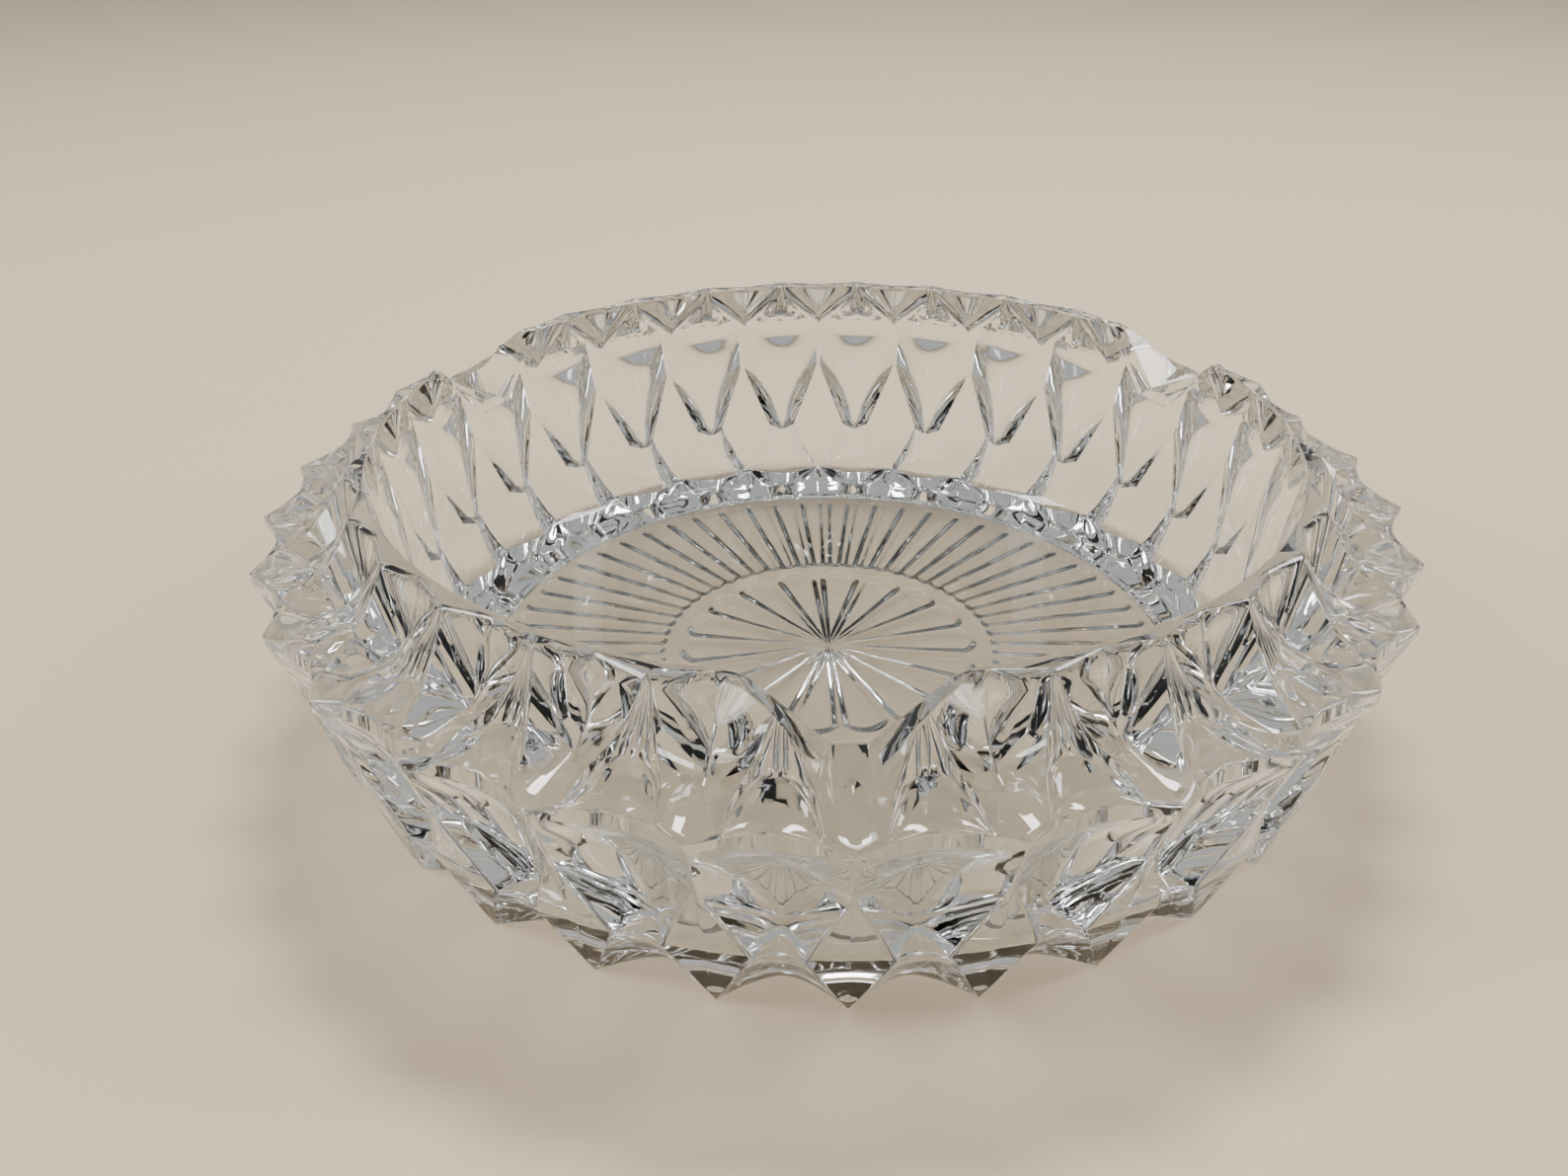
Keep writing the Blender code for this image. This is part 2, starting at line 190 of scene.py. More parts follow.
# %% The lines of the lower band
DIAMOND_TOP = (0, 86.9, 24.1)
DIAMOND_CORNER = (3.93, 83.4, 11.7)
TIP_ROWS = 5                                 # rows from the tip down to the diamond
DIAMOND_ROWS = 7                             # rows from the diamond's top to its corner
FOOT_ROWS = 5                                # rows from the diamond's corner down to the foot
foot = (0, FOOT_RADIUS, 0)
tip_edge = smooth_line([girdle(0, GIRDLE_BOTTOM), DIAMOND_TOP], TIP_ROWS)
diamond_edge = smooth_line([DIAMOND_TOP, DIAMOND_CORNER], DIAMOND_ROWS)
panel_side = tip_edge[:-1] + diamond_edge
panel_middle = smooth_line([girdle(HALF_STEP, GIRDLE_BOTTOM, 1.1), (HALF_STEP, 83.1, 27.4),
                            (HALF_STEP, 80.6, 21.5), (HALF_STEP, 79.2, 15.8), (HALF_STEP, 78.9, 11.6)],
                           TIP_ROWS + DIAMOND_ROWS)
foot_edge = smooth_line([foot, DIAMOND_CORNER], FOOT_ROWS)
diamond_middle = smooth_line([foot, (0, 83.3, 11.7), DIAMOND_TOP], FOOT_ROWS + DIAMOND_ROWS)

# %% [markdown]
# ## From lines to surfaces
# `stretch` fills the space between two lines of equal length. The columns are close together beside a
# ridge and wide apart in the hollows. The narrow strip is there so that a ridge looks fire polished: the
# shading turns over within half a millimetre.

# %% Stretch a surface between two lines
mesh_faces = []                              # corners of every face of the half repeat, in metres


def add_face(corners):
    """Keeps a face of the half repeat, without corners that coincide."""
    unique = []
    for corner in corners:
        if all((corner - other).length > 1e-7 for other in unique):
            unique.append(corner)
    if len(unique) > 2:
        mesh_faces.append(unique)


def stretch(middle, side, shares, power=1.0, hollow=(0.0, 0.0)):
    """Fills from `middle` (share 0) to `side` (share 1). A power over 1 rounds the cross section, and
    `hollow` is how far in and how far down its middle sags."""
    rows = []
    last = max(len(middle) - 1, 1)
    for index, (a, b) in enumerate(zip(middle, side)):
        swell = math.sin(math.pi * index / last)
        row = []
        for share in shares:
            bend = share ** power
            sag = 4 * share * (1 - share) * swell
            row.append((a[0] + (b[0] - a[0]) * share, a[1] + (b[1] - a[1]) * bend - hollow[0] * sag,
                        a[2] + (b[2] - a[2]) * bend - hollow[1] * sag))
        rows.append(row)
    for low, high in zip(rows, rows[1:]):
        for k in range(len(shares) - 1):
            add_face([place(low[k]), place(low[k + 1]), place(high[k + 1]), place(high[k])])
    return rows


def zip_lines(first, second):
    """Triangles between two lines with different numbers of points, for narrow or flat strips."""
    i = j = 0
    while i < len(first) - 1 or j < len(second) - 1:
        ahead_i = (i + 1) / (len(first) - 1) if i < len(first) - 1 else 2
        ahead_j = (j + 1) / (len(second) - 1) if j < len(second) - 1 else 2
        if ahead_i <= ahead_j:
            add_face([place(first[i]), place(first[i + 1]), place(second[j])])
            i += 1
        else:
            add_face([place(first[i]), place(second[j + 1]), place(second[j])])
            j += 1


def shares_to_ridge(count, edge=0.06):
    """Even columns from a hollow's middle, and one narrow column beside the ridge."""
    return [(1 - edge) * k / count for k in range(count + 1)] + [1.0]


# %% Upper band: flutes, faces and lens facets
FLUTE_POWER = 1.2                            # nearly flat sides that meet in a soft crease
FACE_POWER = 1.35
flute_rows = stretch(flute, ridge, [0, 0.05] + shares_to_ridge(6)[1:], FLUTE_POWER)
face_shares = [0, 0.05] + [0.05 + 0.89 * k / 4 for k in range(1, 5)] + [1.0]
stretch(crease[:-1] + face_line, ridge, face_shares, FACE_POWER, (0.5, 0.2))
beyond_ridge = [RIDGE_FOOT + (HALF_STEP - RIDGE_FOOT) * k / 6 for k in range(7)]
girdle_beyond = smooth_line([girdle(degrees, GIRDLE_TOP) for degrees in beyond_ridge], CREASE_ROWS,
                            mirror_end=True)
stretch(crease, girdle_beyond, [0, 0.12, 0.4, 0.7, 0.93, 1.0], 1.0, (0.5, 0.5))
print("upper band:", len(mesh_faces), "faces")

# %% Thumbprint panels, and the girdle: a narrow upright band with rounded edges
BAND_EDGE = 0.28                             # width of the rounded strip along each edge
BAND_SWELL = 0.02                            # how far the band stands out between those strips
girdle_top_line = flute_rows[0] + girdle_beyond[1:]
panel_shares = shares_to_ridge(8, 0.05)
panel_rows = stretch(panel_middle, panel_side, panel_shares, HOLLOW_POWER)
panel_top_line = panel_rows[0][::-1]


def shifted(line, inward, down):
    return [(point[0], point[1] - inward, point[2] - down) for point in line]


below_top = shifted(girdle_top_line, -BAND_SWELL, BAND_EDGE)
above_bottom = shifted(panel_top_line, -BAND_SWELL, -BAND_EDGE)
stretch(girdle_top_line, below_top, [0, 1])
zip_lines(below_top, above_bottom)
stretch(above_bottom, panel_top_line, [0, 1])

# %% Lower band: ledges, diamonds and the flanks of the feet
LEDGE_RADIUS = 81.7                          # the ledge's outer edge, half a step from the tip
LEDGE_HEIGHT = 10.9
FACET_SHARES = [0, 0.12, 0.5, 0.9, 1.0]
ledge_inner = panel_rows[-1][::-1]
ledge_outer = []
for point, share in zip(ledge_inner, panel_shares[::-1]):
    radius = LEDGE_RADIUS + (DIAMOND_CORNER[1] - LEDGE_RADIUS) * share ** HOLLOW_POWER
    height = LEDGE_HEIGHT + (DIAMOND_CORNER[2] - LEDGE_HEIGHT) * share
    ledge_outer.append((point[0], radius, height))
stretch(ledge_inner, ledge_outer, FACET_SHARES)
stretch(diamond_middle, foot_edge + diamond_edge[::-1][1:], FACET_SHARES, 1.0, (-0.10, 0.0))

base_turns = [DIAMOND_CORNER[0] * k / FOOT_ROWS for k in range(FOOT_ROWS)]
base_turns += [point[0] for point in ledge_outer]
base_line = [(turn, scallop(turn, FOOT_RADIUS, FOOT_SCALLOP), 0) for turn in base_turns]
flank_top = foot_edge[:-1] + ledge_outer
stretch(base_line, flank_top, [0, 0.04, 0.3, 0.65, 0.95, 1.0])
print("with the lower band:", len(mesh_faces), "faces")

# %% Underside: the flat ring that it stands on, and the step up into the recess
RECESS_STEP = 1.4                            # height above the base at the top of a groove
RECESS_COLUMNS = 6                           # columns in half a repeat
RECESS_EDGE_HEIGHT = 0.5                     # height of the recess at its very edge
RECESS_SLOPE = 1.9                           # width of the slope from there to the full height
inner_base = [(point[0], point[1] - 0.4, 0) for point in base_line]
stretch(base_line, inner_base, [0, 1])
turns = [HALF_STEP * k / RECESS_COLUMNS for k in range(RECESS_COLUMNS + 1)]
recess_lip = [[(turn, RECESS_RADIUS + 0.45, 0), (turn, RECESS_RADIUS + 0.12, 0.15),
               (turn, RECESS_RADIUS, RECESS_EDGE_HEIGHT)] for turn in turns]
zip_lines(inner_base, [lip[0] for lip in recess_lip])
for near, far in zip(recess_lip, recess_lip[1:]):
    for k in range(len(near) - 1):
        add_face([place(near[k]), place(far[k]), place(far[k + 1]), place(near[k + 1])])

# %% Rim and bowl: a flat rim, a drafted wall, a round cove and a flat floor
FLOOR = 4.7
COVE_RADIUS = 5.5
WALL_BOTTOM = RIM_INNER - 5.7
RIM_ROUNDING = 0.4                           # depth of the rounded edge between the rim and the wall
BOWL_COLUMNS = 4                             # columns in half a repeat
BOWL_ROWS = 8                                # rows on the wall, and as many around the cove
turns = [HALF_STEP * k / BOWL_COLUMNS for k in range(BOWL_COLUMNS + 1)]
draft = math.atan2(RIM_INNER - WALL_BOTTOM, HEIGHT - FLOOR)


def wall_radius(height):
    return WALL_BOTTOM + (height - FLOOR) * math.tan(draft)


bowl = [(RIM_INNER + 0.35, HEIGHT), (RIM_INNER + 0.10, HEIGHT - 0.08),
        (wall_radius(HEIGHT - RIM_ROUNDING), HEIGHT - RIM_ROUNDING)]
cove_height = FLOOR + COVE_RADIUS
cove_middle = wall_radius(cove_height) - COVE_RADIUS / math.cos(draft)
for k in range(1, BOWL_ROWS + 1):
    height = HEIGHT - RIM_ROUNDING + (cove_height - HEIGHT + RIM_ROUNDING) * k / BOWL_ROWS
    bowl.append((wall_radius(height), height))
for k in range(1, BOWL_ROWS + 1):
    angle = -draft + (draft - math.pi / 2) * k / BOWL_ROWS
    bowl.append((cove_middle + COVE_RADIUS * math.cos(angle), cove_height + COVE_RADIUS * math.sin(angle)))
bowl += [(45.0, FLOOR), (20.0, FLOOR), (0.0, FLOOR)]
rim_line = flute_rows[-1]
rim_inside = [(point[0], point[1] - 0.3, HEIGHT) for point in rim_line]
stretch(rim_line, rim_inside, [0, 1])
zip_lines(rim_inside, [(turn, bowl[0][0], bowl[0][1]) for turn in turns])
for (r1, z1), (r2, z2) in zip(bowl, bowl[1:]):
    for near, far in zip(turns, turns[1:]):
        add_face([place((near, r1, z1)), place((near, r2, z2)), place((far, r2, z2)), place((far, r1, z1))])
print("half repeat:", len(mesh_faces), "faces")

# %% Make the half repeat a mesh whose faces point outwards
def half_repeat_mesh():
    bm = bmesh.new()
    for corners in mesh_faces:
        bm.faces.new([bm.verts.new(corner) for corner in corners])
    bmesh.ops.remove_doubles(bm, verts=bm.verts[:], dist=WELD)
    bmesh.ops.dissolve_degenerate(bm, edges=bm.edges[:], dist=1e-7)
    bmesh.ops.recalc_face_normals(bm, faces=bm.faces[:])
    outer = max(bm.faces, key=lambda face: face.calc_center_median().to_2d().length)
    if outer.normal.to_2d().dot(outer.calc_center_median().to_2d()) < 0:
        bmesh.ops.reverse_faces(bm, faces=bm.faces[:])
    for face in bm.faces:
        face.smooth = True
    mesh = bpy.data.meshes.new("half_repeat")
    bm.to_mesh(mesh)
    bm.free()
    return mesh


half_mesh = half_repeat_mesh()
glass = bpy.data.objects.new("ashtray_glass", half_mesh)
bpy.context.scene.collection.objects.link(glass)
print("half repeat mesh:", len(half_mesh.vertices), "points")

# %% [markdown]
# ## Node trees that do sums
# The rest of the shape follows a rule, so Geometry Nodes make it. A tree of Math nodes is slow to read,
# so a small class lets the script write `a * b + c` and makes one Math node for each sign.

# %% Sums as nodes
class Sum:
    """A number in a node tree. Adding, multiplying and so on make Math nodes."""

    def __init__(self, tree, socket):
        self.tree = tree
        self.socket = socket

    def calc(self, operation, *others):
        math_node = self.tree.nodes.new("ShaderNodeMath")
        math_node.operation = operation
        for slot_index, value in enumerate((self,) + others):
            if isinstance(value, Sum):
                self.tree.links.new(value.socket, math_node.inputs[slot_index])
            else:
                math_node.inputs[slot_index].default_value = value
        return Sum(self.tree, math_node.outputs[0])

    def __add__(self, other):
        return self.calc("ADD", other)

    def __sub__(self, other):
        return self.calc("SUBTRACT", other)

    def __mul__(self, other):
        return self.calc("MULTIPLY", other)

    def __truediv__(self, other):
        return self.calc("DIVIDE", other)

    def flipped(self, from_value=1.0):
        """from_value minus this number"""
        return (self * -1.0) + from_value


def new_tree(name, inputs):
    """A geometry node tree with a geometry input and output, and named inputs with their defaults."""
    tree = bpy.data.node_groups.new(name, "GeometryNodeTree")
    tree.interface.new_socket("Geometry", in_out="INPUT", socket_type="NodeSocketGeometry")
    tree.interface.new_socket("Geometry", in_out="OUTPUT", socket_type="NodeSocketGeometry")
    for label, (kind, value) in inputs.items():
        made = tree.interface.new_socket(label, in_out="INPUT", socket_type=kind)
        if value is not None:
            made.default_value = value
    return tree, tree.nodes.new("NodeGroupInput"), tree.nodes.new("NodeGroupOutput")


def add_node(tree, kind, links=(), values=(), **settings):
    """A node with its settings, the sockets that feed it and its plain values, by input name or index."""
    made = tree.nodes.new(kind)
    for key, value in settings.items():
        setattr(made, key, value)
    for key, source in dict(links).items():
        tree.links.new(source.socket if isinstance(source, Sum) else source, made.inputs[key])
    for key, value in dict(values).items():
        made.inputs[key].default_value = value
    return made


# %% [markdown]
# ## Thirty repeats
# The first tree mirrors the half repeat, puts a copy on each of thirty points and turns it by its share
# of the circle. The last tree merges the edges where two copies touch.

# %% The tree that mirrors and turns
def ring_tree():
    tree, given, result = new_tree("mirror and turn", {"Count": ("NodeSocketInt", POINT_COUNT)})
    mirrored = add_node(tree, "GeometryNodeTransform", {"Geometry": given.outputs["Geometry"]},
                        {"Scale": (-1, 1, 1)})
    flipped = add_node(tree, "GeometryNodeFlipFaces", {"Mesh": mirrored.outputs["Geometry"]})
    whole = add_node(tree, "GeometryNodeJoinGeometry")
    tree.links.new(given.outputs["Geometry"], whole.inputs[0])
    tree.links.new(flipped.outputs["Mesh"], whole.inputs[0])
    spots = add_node(tree, "GeometryNodeMeshLine", {"Count": given.outputs["Count"]}, {"Offset": (0, 0, 0)})
    index = Sum(tree, add_node(tree, "GeometryNodeInputIndex").outputs[0])
    turn = index * (2 * math.pi) / Sum(tree, given.outputs["Count"])
    angle = add_node(tree, "ShaderNodeCombineXYZ", {"Z": turn})
    copies = add_node(tree, "GeometryNodeInstanceOnPoints",
                      {"Points": spots.outputs["Mesh"], "Instance": whole.outputs[0],
                       "Rotation": angle.outputs[0]})
    real = add_node(tree, "GeometryNodeRealizeInstances", {"Geometry": copies.outputs[0]})
    tree.links.new(real.outputs[0], result.inputs[0])
    return tree


ring = ring_tree()

# %% [markdown]
# ## The pattern under the floor
# Under the floor the mould pressed eighteen petals, and sixty long narrow pads around them. The grooves
# between them are cut up into the glass, and you see them through the floor from above.
#
# The whole underside is one sheet in rings and columns. One sum gives the groove's depth at each point:
# it is deepest on the outline of a petal or pad, and fades out in a short slope. `pad_distance` measures
# how far inside its pad a point lies: from the side lines, and from the rounded ends.

# %% Sums for the pattern
PETAL_PITCH = 360 / 18                       # degrees from one petal to the next
PETAL_PHASE = 3.0                            # degrees; a line between two petals lies here
PETAL_END = 26.3                             # radius at the petals' outer ends
PAD_PITCH = 360 / 60
PAD_PHASE = 5.0
PAD_START = 28.3                             # radius at the pads' inner ends
PAD_END = 57.6
GROOVE_DEPTH = 0.85
GROOVE_ROUNDNESS = 0.8                       # 0 gives a straight slope, 1 a fully rounded one
PETAL_SLOPE = 0.45                           # width of a petal's slope at the centre
PETAL_SLOPE_GROWTH = 0.055                   # how much wider it gets for each millimetre outwards
PAD_SLOPE = 1.2
CENTRE_RADIUS = 2.5                          # the grooves fade out inside this radius
COLUMNS = 2 * RECESS_COLUMNS * POINT_COUNT   # must be the recess edge's own number of points


def pad_distance(radius, turn, pitch, phase, inner_end, outer_end):
    """Millimetres inside the outline of the nearest pad; it is negative outside."""
    off_side = (turn - phase).calc("PINGPONG", pitch / 2)
    side = radius * off_side * (math.pi / 180)
    middle = (off_side / (pitch / 2)).flipped()
    bulge = (middle * middle).flipped().calc("MAXIMUM", 0.0).calc("SQRT").flipped()
    half_width = math.radians(pitch / 2)
    outer = radius.flipped(outer_end) - bulge * (outer_end * half_width)
    distance = side.calc("MINIMUM", outer)
    if inner_end:
        inner = radius - inner_end - bulge * (inner_end * half_width)
        distance = distance.calc("MINIMUM", inner)
    return distance


def groove(distance, width, roundness):
    """1 outside the pad, falling to 0 at `width` inside its outline; roundness 0 gives a straight slope."""
    share = (distance / width).calc("MAXIMUM", 0.0).calc("MINIMUM", 1.0)
    smooth = share * share * (share * 2.0).flipped(3.0)
    return (smooth * roundness + share * (1.0 - roundness)).flipped()


# %% The tree for the underside
ZONES = ((0.0, 16.0, 6), (16.0, 27.6, 28), (27.6, 31.0, 9), (31.0, 52.0, 4),
         (52.0, RECESS_RADIUS, 18))          # inner radius, outer radius, rows


def underside_tree():
    tree, given, result = new_tree("pressed underside", {
        "Groove depth": ("NodeSocketFloat", GROOVE_DEPTH),
        "Recess depth": ("NodeSocketFloat", RECESS_STEP)})
    sheets = add_node(tree, "GeometryNodeJoinGeometry")
    for inner, outer, rows in ZONES:
        sheet = add_node(tree, "GeometryNodeMeshGrid", values={
            "Size X": 1.0, "Size Y": outer - inner, "Vertices X": COLUMNS + 1, "Vertices Y": rows + 1})
        shifted_sheet = add_node(tree, "GeometryNodeTransform", {"Geometry": sheet.outputs["Mesh"]},
                                 {"Translation": (0.5, (outer + inner) / 2, 0)})
        tree.links.new(shifted_sheet.outputs[0], sheets.inputs[0])
    place_now = add_node(tree, "ShaderNodeSeparateXYZ",
                         {0: add_node(tree, "GeometryNodeInputPosition").outputs[0]})
    around = Sum(tree, place_now.outputs["X"])
    radius = Sum(tree, place_now.outputs["Y"])
    turn = around * 360.0
    petal = pad_distance(radius, turn, PETAL_PITCH, PETAL_PHASE, None, PETAL_END)
    pad = pad_distance(radius, turn, PAD_PITCH, PAD_PHASE, PAD_START, PAD_END)
    petal_groove = groove(petal, (radius * PETAL_SLOPE_GROWTH) + PETAL_SLOPE, GROOVE_ROUNDNESS)
    pad_groove = groove(pad, PAD_SLOPE, GROOVE_ROUNDNESS)
    depth = petal_groove.calc("MINIMUM", pad_groove) * Sum(tree, given.outputs["Groove depth"])
    centre_fade = (radius / CENTRE_RADIUS).calc("MINIMUM", 1.0)
    full_height = (depth * centre_fade) + Sum(tree, given.outputs["Recess depth"]) \
        - Sum(tree, given.outputs["Groove depth"])
    edge_share = RECESS_EDGE_HEIGHT / RECESS_STEP
    up_the_slope = (radius.flipped(RECESS_RADIUS) / RECESS_SLOPE).calc("MINIMUM", 1.0)
    height = full_height * (up_the_slope * (1.0 - edge_share) + edge_share)
    angle = around * (2 * math.pi)
    flat_x = radius * angle.calc("SINE") * MM
    flat_y = radius * angle.calc("COSINE") * -MM
    spot = add_node(tree, "ShaderNodeCombineXYZ", {"X": flat_x, "Y": flat_y, "Z": height * MM})
    shaped = add_node(tree, "GeometryNodeSetPosition",
                      {"Geometry": sheets.outputs[0], "Position": spot.outputs[0]})
    merged = add_node(tree, "GeometryNodeMergeByDistance", {"Geometry": shaped.outputs[0]},
                      {"Distance": WELD})
    tree.links.new(merged.outputs[0], result.inputs[0])
    return tree


underside = underside_tree()

# %% [markdown]
# ## Putting the glass together
# The last tree uses both: thirty repeats and the underside, joined and merged along the recess edge, so
# the glass is one closed skin.

# %% The whole glass
def glass_tree():
    tree, given, result = new_tree("whole ashtray", {
        "Points around": ("NodeSocketInt", POINT_COUNT),
        "Groove depth": ("NodeSocketFloat", GROOVE_DEPTH),
        "Glass": ("NodeSocketMaterial", None)})
    outside = add_node(tree, "GeometryNodeGroup", node_tree=ring)
    tree.links.new(given.outputs["Geometry"], outside.inputs["Geometry"])
    tree.links.new(given.outputs["Points around"], outside.inputs["Count"])
    below = add_node(tree, "GeometryNodeGroup", node_tree=underside)
    tree.links.new(given.outputs["Groove depth"], below.inputs["Groove depth"])
    joined = add_node(tree, "GeometryNodeJoinGeometry")
    tree.links.new(outside.outputs[0], joined.inputs[0])
    tree.links.new(below.outputs[0], joined.inputs[0])
    merged = add_node(tree, "GeometryNodeMergeByDistance", {"Geometry": joined.outputs[0]},
                      {"Distance": 2 * WELD})
    smooth = add_node(tree, "GeometryNodeSetShadeSmooth", {"Geometry": merged.outputs[0]})
    real = add_node(tree, "GeometryNodeRealizeInstances", {"Geometry": smooth.outputs[0]})
    painted = add_node(tree, "GeometryNodeSetMaterial", {"Geometry": real.outputs[0],
                                                         "Material": given.outputs["Glass"]})
    tree.links.new(painted.outputs[0], result.inputs[0])
    return tree


whole = glass_tree()

# %% [markdown]
# ## Clear glass
# Glass gets its look from what stands around it and from its own shape, so the material is simple: light
# passes through, bends by the glass's own amount and picks up a faint grey-green. Pressed glass is never
# quite flat. A slow noise makes the surface gently wavy, and a finer one varies how sharply it shines.

# %% The glass material
def glass_material():
    material = bpy.data.materials.new("pressed_glass")
    material.use_nodes = True
    tree = material.node_tree
    shader = tree.nodes["Principled BSDF"]
    shader.inputs["Base Color"].default_value = (0.965, 0.985, 0.975, 1)
    shader.inputs["Metallic"].default_value = 0.0
    shader.inputs["IOR"].default_value = 1.52
    shader.inputs["Transmission Weight"].default_value = 1.0
    position = add_node(tree, "ShaderNodeTexCoord").outputs["Object"]
    waves = add_node(tree, "ShaderNodeTexNoise", {"Vector": position}, {"Scale": 90.0, "Detail": 1.0})
    bump = add_node(tree, "ShaderNodeBump", {"Height": waves.outputs[0]},
                    {"Strength": 0.25, "Distance": 0.0004})
    tree.links.new(bump.outputs[0], shader.inputs["Normal"])
    haze = add_node(tree, "ShaderNodeTexNoise", {"Vector": position}, {"Scale": 55.0, "Detail": 3.0})
    rough = add_node(tree, "ShaderNodeMapRange", {"Value": haze.outputs[0]},
                     {"From Min": 0.35, "From Max": 0.75, "To Min": 0.004, "To Max": 0.035})
    tree.links.new(rough.outputs[0], shader.inputs["Roughness"])
    return material


clear_glass = glass_material()

# %% Evaluate the tree into a plain mesh
def socket_id(tree, label):
    """A modifier's input goes by its identifier, not its name."""
    return next(item.identifier for item in tree.interface.items_tree
                if item.item_type == "SOCKET" and item.in_out == "INPUT" and item.name == label)


def bake_modifiers(piece):
    """Swaps the piece's mesh for what its modifiers make, and removes them."""
    evaluated = piece.evaluated_get(bpy.context.evaluated_depsgraph_get())
    mesh = bpy.data.meshes.new_from_object(evaluated)
    piece.modifiers.clear()
    piece.data = mesh
    return mesh


modifier = glass.modifiers.new("whole ashtray", "NODES")
modifier.node_group = whole
modifier[socket_id(whole, "Points around")] = POINT_COUNT
modifier[socket_id(whole, "Groove depth")] = GROOVE_DEPTH
modifier[socket_id(whole, "Glass")] = clear_glass
glass_mesh = bake_modifiers(glass)


def report_mesh(mesh, label):
    bm = bmesh.new()
    bm.from_mesh(mesh)
    open_edges = sum(1 for edge in bm.edges if len(edge.link_faces) != 2)
    triangles = sum(len(face.verts) - 2 for face in bm.faces)
    print("%s: %d triangles, %d open edges, %.1f cubic centimetres"
          % (label, triangles, open_edges, bm.calc_volume(signed=True) * 1e6))
    bm.free()


report_mesh(glass_mesh, "glass before the rests")

# %% [markdown]
# ## Cigarette rests
# Each rest is a channel across the rim: a flat bottom, sides at 45 degrees, and shoulders that roll over
# into the flat of the rim. The tool that cuts it is wider at its inner end, so the channel's lip at the
# bowl is rounded as well, the way a flame leaves it.

# %% The channel's outline and the cutting tool
REST_COUNT = 3
REST_FLOOR = HEIGHT - 9.7
REST_HALF_WIDTH = 2.1
SHOULDER_RADIUS = 3.2
CORNER_RADIUS = 0.8
LIP_RADIUS = 1.3                             # rounded lip where the channel meets the bowl
CRISP_ANGLE = math.radians(15)


def arc(middle_x, middle_z, radius, start, end, steps):
    angles = [math.radians(start + (end - start) * k / steps) for k in range(steps + 1)]
    return [(middle_x + radius * math.cos(a), middle_z + radius * math.sin(a)) for a in angles]


def rest_outline(swell):
    """(sideways, height) points of half the channel, from the edge of its floor up past the rim."""
    floor = REST_FLOOR - swell
    tangent = math.tan(math.radians(22.5))
    corner = arc(REST_HALF_WIDTH + swell - CORNER_RADIUS * tangent, floor + CORNER_RADIUS, CORNER_RADIUS,
                 -90, -45, 3)
    top = HEIGHT + 0.02
    slope_meets_rim = REST_HALF_WIDTH + swell + (top - floor)
    shoulder = arc(slope_meets_rim + SHOULDER_RADIUS * tangent, top - SHOULDER_RADIUS, SHOULDER_RADIUS,
                   135, 90, 6)
    return corner + shoulder + [(shoulder[-1][0] + 0.6, HEIGHT + 4)]


def rest_cutter():
    """Three channels, each in sections from inside the bowl to outside; the lip is a section's swell."""
    wall = wall_radius(REST_FLOOR + 3)
    stations = [(wall - 9, LIP_RADIUS), (wall - 0.1, LIP_RADIUS), (wall + 0.04, LIP_RADIUS * 0.62),
                (wall + 0.25, LIP_RADIUS * 0.36), (wall + 0.55, LIP_RADIUS * 0.17),
                (wall + 0.9, LIP_RADIUS * 0.05), (wall + 1.3, 0), (TIP_RADIUS + 4, 0)]
    bm = bmesh.new()
    for index in range(REST_COUNT):
        spin = Matrix.Rotation(2 * math.pi * index / REST_COUNT, 4, "Z")
        sections = []
        for distance, swell in stations:
            half = rest_outline(swell)
            outline = [(-x, z) for x, z in half[::-1]] + half
            sections.append([bm.verts.new(spin @ (Vector((x, -distance, z)) * MM)) for x, z in outline])
        for near, far in zip(sections, sections[1:]):
            for k in range(len(near)):
                following = (k + 1) % len(near)
                bm.faces.new((near[k], near[following], far[following], far[k]))
        bm.faces.new(sections[0][::-1])
        bm.faces.new(sections[-1])
    if bm.calc_volume(signed=True) < 0:
        bmesh.ops.reverse_faces(bm, faces=bm.faces[:])
    mesh = bpy.data.meshes.new("rest_cutter")
    bm.to_mesh(mesh)
    bm.free()
    mesh.materials.append(bpy.data.materials.new("cut_face"))
    return mesh


# %% Cut the rests and keep their edges crisp
def cut_rests(piece):
    cutter = bpy.data.objects.new("rest_cutter", rest_cutter())
    bpy.context.scene.collection.objects.link(cutter)
    cut = piece.modifiers.new("rests", "BOOLEAN")
    cut.operation = "DIFFERENCE"
    cut.solver = "EXACT"
    cut.material_mode = "TRANSFER"
    cut.object = cutter
    mesh = bake_modifiers(piece)
    bpy.data.objects.remove(cutter, do_unlink=True)
    bm = bmesh.new()
    bm.from_mesh(mesh)
    crisp = 0
    for edge in bm.edges:
        faces = edge.link_faces
        if len(faces) == 2 and faces[0].material_index != faces[1].material_index:
            edge.smooth = edge.calc_face_angle(0) < CRISP_ANGLE
            crisp += not edge.smooth
    last = len(mesh.materials) - 1
    cut_faces = sum(face.material_index == last for face in bm.faces)
    print("faces cut by the tool:", cut_faces, "crisp edges:", crisp)
    for face in bm.faces:
        face.material_index = 0
        face.smooth = True
    bm.to_mesh(mesh)
    bm.free()
    mesh.materials.clear()
    mesh.materials.append(clear_glass)


cut_rests(glass)
report_mesh(glass.data, "finished glass")

# %% [markdown]
# ## Where it stands
# A wide flat pale floor, a soft light above and behind the ashtray, a weaker one on each side, and an
# even pale grey all around.

# %% Floor
def pale_material():
    material = bpy.data.materials.new("pale_floor")
    material.use_nodes = True
    shader = material.node_tree.nodes["Principled BSDF"]
    shader.inputs["Base Color"].default_value = (0.70, 0.55, 0.38, 1)
    shader.inputs["Roughness"].default_value = 0.65
    return material


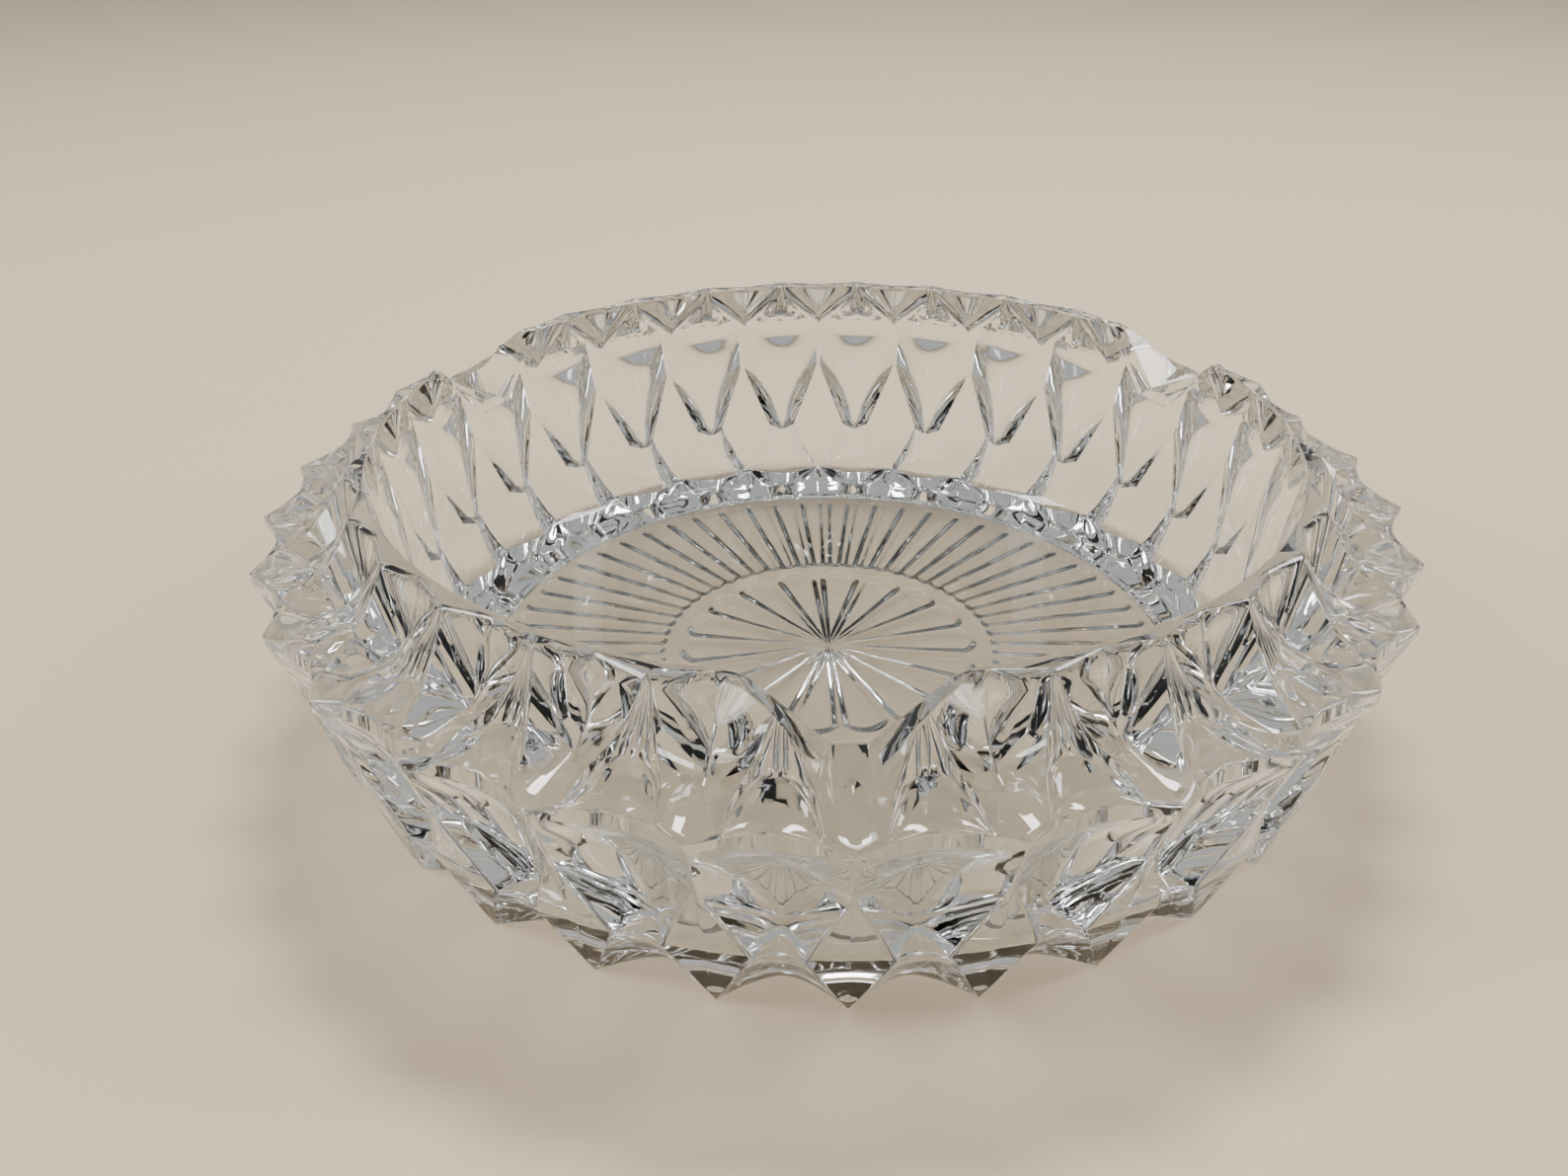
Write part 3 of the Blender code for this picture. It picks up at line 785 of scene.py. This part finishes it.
def floor_object():
    mesh = bpy.data.meshes.new("studio_floor")
    reach = 4.0
    gap = 0.0001                             # keeps the floor just clear of the feet
    sides = ((-reach, -reach), (reach, -reach), (reach, reach), (-reach, reach))
    mesh.from_pydata([Vector((x, y, -gap)) for x, y in sides], [], [(0, 1, 2, 3)])
    mesh.materials.append(pale_material())
    floor = bpy.data.objects.new("studio_floor", mesh)
    bpy.context.scene.collection.objects.link(floor)
    return floor


floor = floor_object()

# %% Lights
def softbox(name, place_at, aim_at, size, power, colour=(1, 1, 1)):
    light = bpy.data.lights.new(name, "AREA")
    light.shape = "RECTANGLE"
    light.size, light.size_y = size
    light.energy = power
    light.color = colour
    lamp = bpy.data.objects.new(name, light)
    lamp.location = place_at
    lamp.rotation_euler = (Vector(aim_at) - Vector(place_at)).to_track_quat("-Z", "Y").to_euler()
    bpy.context.scene.collection.objects.link(lamp)


SIDE_SIZE = (0.16, 0.5)                      # metres
SIDE_POWER = 4.5                             # watts
aim = (0, 0, HEIGHT * MM / 2)
softbox("overhead_softbox", (0.06, 0.42, 0.95), aim, (0.34, 0.20), 9.0, (1.0, 0.98, 0.95))
softbox("left_softbox", (-0.75, -0.15, 0.60), aim, SIDE_SIZE, SIDE_POWER)
softbox("right_softbox", (0.80, 0.05, 0.60), aim, SIDE_SIZE, SIDE_POWER)
world = bpy.data.worlds.new("studio")
world.use_nodes = True
background = world.node_tree.nodes["Background"]
background.inputs["Color"].default_value = (0.78, 0.80, 0.82, 1)
background.inputs["Strength"].default_value = 0.55
bpy.context.scene.world = world

# %% [markdown]
# ## Camera
# The camera looks down at thirty degrees from close by, almost straight over the front rest. It is
# rolled by half a degree, as a hand-held camera is.

# %% Camera
def add_camera(location, target, roll_degrees, lens):
    camera_data = bpy.data.cameras.new("camera")
    camera_data.lens = lens
    camera_data.sensor_width = 36
    camera_data.clip_start = 0.01
    camera = bpy.data.objects.new("camera", camera_data)
    look = (target - location).to_track_quat("-Z", "Y").to_matrix().to_4x4()
    camera.matrix_world = (Matrix.Translation(location) @ look
                           @ Matrix.Rotation(math.radians(roll_degrees), 4, "Z"))
    bpy.context.scene.collection.objects.link(camera)
    bpy.context.scene.camera = camera


camera_place = Vector((-7.23, -199.92, 130.16)) * MM
camera_target = Vector((-7.67, -8.91, 20.0)) * MM
add_camera(camera_place, camera_target, -0.536, 31.07)

# %% Tell the frame what the glass stands for
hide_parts(node)
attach(glass, body)
